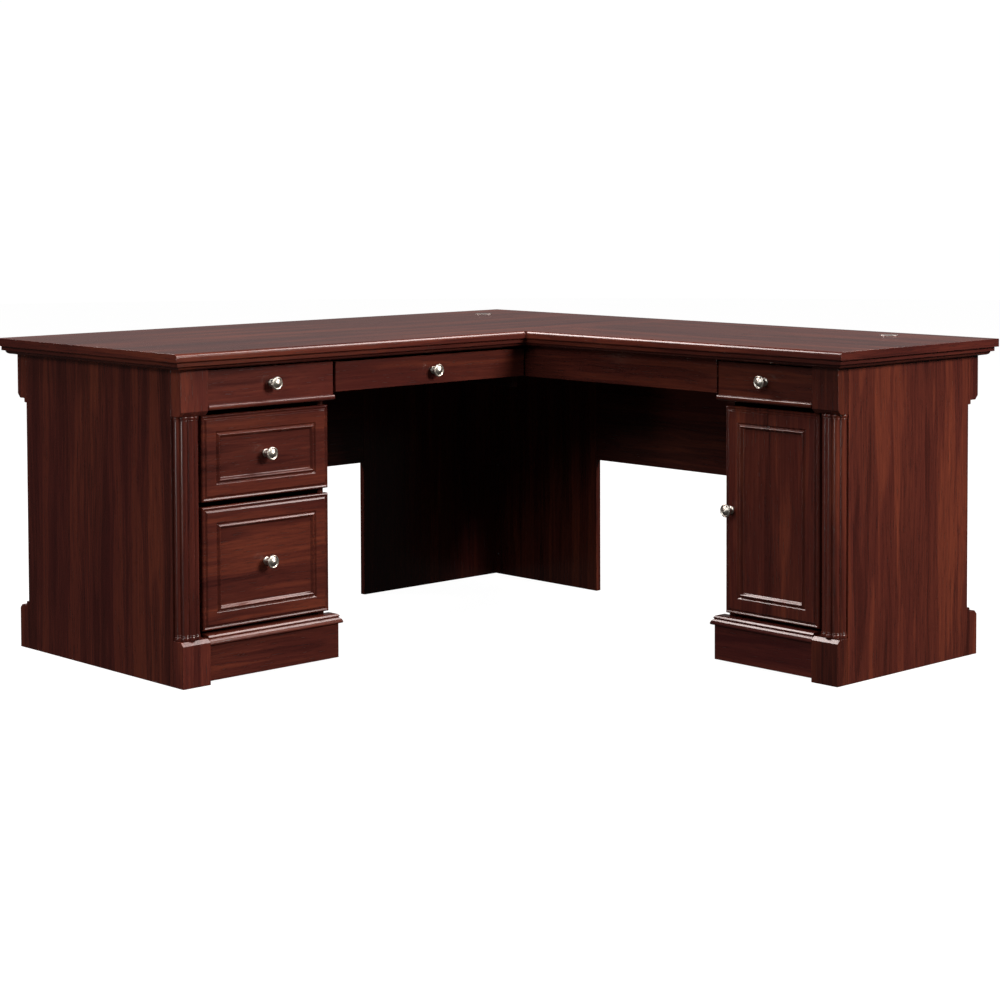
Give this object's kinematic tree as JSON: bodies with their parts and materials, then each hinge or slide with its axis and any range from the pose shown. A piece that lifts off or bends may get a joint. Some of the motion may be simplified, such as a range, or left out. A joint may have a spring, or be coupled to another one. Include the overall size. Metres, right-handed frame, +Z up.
{
  "type": "corner desk",
  "caption": "Corner desk in dark cherry laminate: crown moulding, reeded half columns, file and box drawers, drop-front keyboard shelf, and a cabinet under the return.",
  "frame": {"origin": "centre of the footprint's bounding box, on the floor", "axes": "+X along the main wing towards the corner, +Y along the return wing towards the corner, +Z up"},
  "size_m": [1.654, 1.746, 0.7538],
  "materials": {
    "cherry_laminate": "semi-gloss dark cherry wood-grain laminate on board",
    "dark_laminate": "satin dark cherry laminate on inside boards",
    "box_laminate": "satin laminate of drawer boxes and keyboard tray",
    "brushed_nickel": "satin nickel",
    "zinc_steel": "zinc-plated steel"
  },
  "bodies": {
    "carcass": {"cabinet_hinge_lower": "zinc_steel", "cabinet_hinge_upper": "zinc_steel", "cabinet_shelf": "dark_laminate", "corner_grommet": "brushed_nickel", "end_grommet": "brushed_nickel", "keyboard_hanger": "dark_laminate", "main_back_frieze_block": "cherry_laminate", "main_back_plinth_block": "cherry_laminate", "main_column": "cherry_laminate", "main_corner_leg": "cherry_laminate", "main_crown_back": "cherry_laminate", "main_crown_end": "cherry_laminate", "main_crown_front": "cherry_laminate", "main_end_panel": "cherry_laminate", "main_front_frieze_block": "cherry_laminate", "main_front_plinth_block": "cherry_laminate", "main_inner_panel": "cherry_laminate", "main_modesty_panel": "cherry_laminate", "main_partition": "dark_laminate", "main_pedestal_back": "cherry_laminate", "main_pedestal_bottom": "dark_laminate", "main_plinth_moulding": "cherry_laminate", "main_plinth_rail": "cherry_laminate", "main_top": "cherry_laminate", "return_apron": "cherry_laminate", "return_back_frieze_block": "cherry_laminate", "return_back_plinth_block": "cherry_laminate", "return_column": "cherry_laminate", "return_corner_leg": "cherry_laminate", "return_crown_back": "cherry_laminate", "return_crown_end": "cherry_laminate", "return_crown_front": "cherry_laminate", "return_end_panel": "cherry_laminate", "return_front_frieze_block": "cherry_laminate", "return_front_plinth_block": "cherry_laminate", "return_inner_panel": "cherry_laminate", "return_modesty_panel": "cherry_laminate", "return_partition": "dark_laminate", "return_pedestal_back": "cherry_laminate", "return_pedestal_bottom": "dark_laminate", "return_plinth_moulding": "cherry_laminate", "return_plinth_rail": "cherry_laminate", "return_top": "cherry_laminate"},
    "top_drawer": {"top_drawer_front": "cherry_laminate", "top_drawer_box": "box_laminate", "top_drawer_knob": "brushed_nickel"},
    "middle_drawer": {"middle_drawer_front": "cherry_laminate", "middle_drawer_box": "box_laminate", "middle_drawer_knob": "brushed_nickel"},
    "file_drawer": {"file_drawer_front": "cherry_laminate", "file_drawer_box": "box_laminate", "file_drawer_knob": "brushed_nickel"},
    "return_drawer": {"return_drawer_front": "cherry_laminate", "return_drawer_box": "box_laminate", "return_drawer_knob": "brushed_nickel"},
    "keyboard_shelf": {"keyboard_tray": "box_laminate"},
    "keyboard_flap": {"keyboard_front": "cherry_laminate", "keyboard_knob": "brushed_nickel"},
    "cabinet_door": {"cabinet_door": "cherry_laminate", "cabinet_door_knob": "brushed_nickel"}
  },
  "joints": [
    {"name": "top_drawer_slide", "type": "slide", "parent": "carcass", "child": "top_drawer", "axis": [0, -1, 0], "range_m": [0, 0.3]},
    {"name": "middle_drawer_slide", "type": "slide", "parent": "carcass", "child": "middle_drawer", "axis": [0, -1, 0], "range_m": [0, 0.3]},
    {"name": "file_drawer_slide", "type": "slide", "parent": "carcass", "child": "file_drawer", "axis": [0, -1, 0], "range_m": [0, 0.38]},
    {"name": "return_drawer_slide", "type": "slide", "parent": "carcass", "child": "return_drawer", "axis": [-1, 0, 0], "range_m": [0, 0.28]},
    {"name": "keyboard_slide", "type": "slide", "parent": "carcass", "child": "keyboard_shelf", "axis": [0, -1, 0], "range_m": [0, 0.26]},
    {"name": "keyboard_flap_hinge", "type": "hinge", "parent": "keyboard_shelf", "child": "keyboard_flap", "pos_m": [-0.0432, 0.182, 0.636], "axis": [1, 0, 0], "range_deg": [0, 90]},
    {"name": "cabinet_door_hinge", "type": "hinge", "parent": "carcass", "child": "cabinet_door", "pos_m": [0.291, -0.7635, 0.365], "axis": [0, 0, 1], "range_deg": [0, 110]}
  ]
}
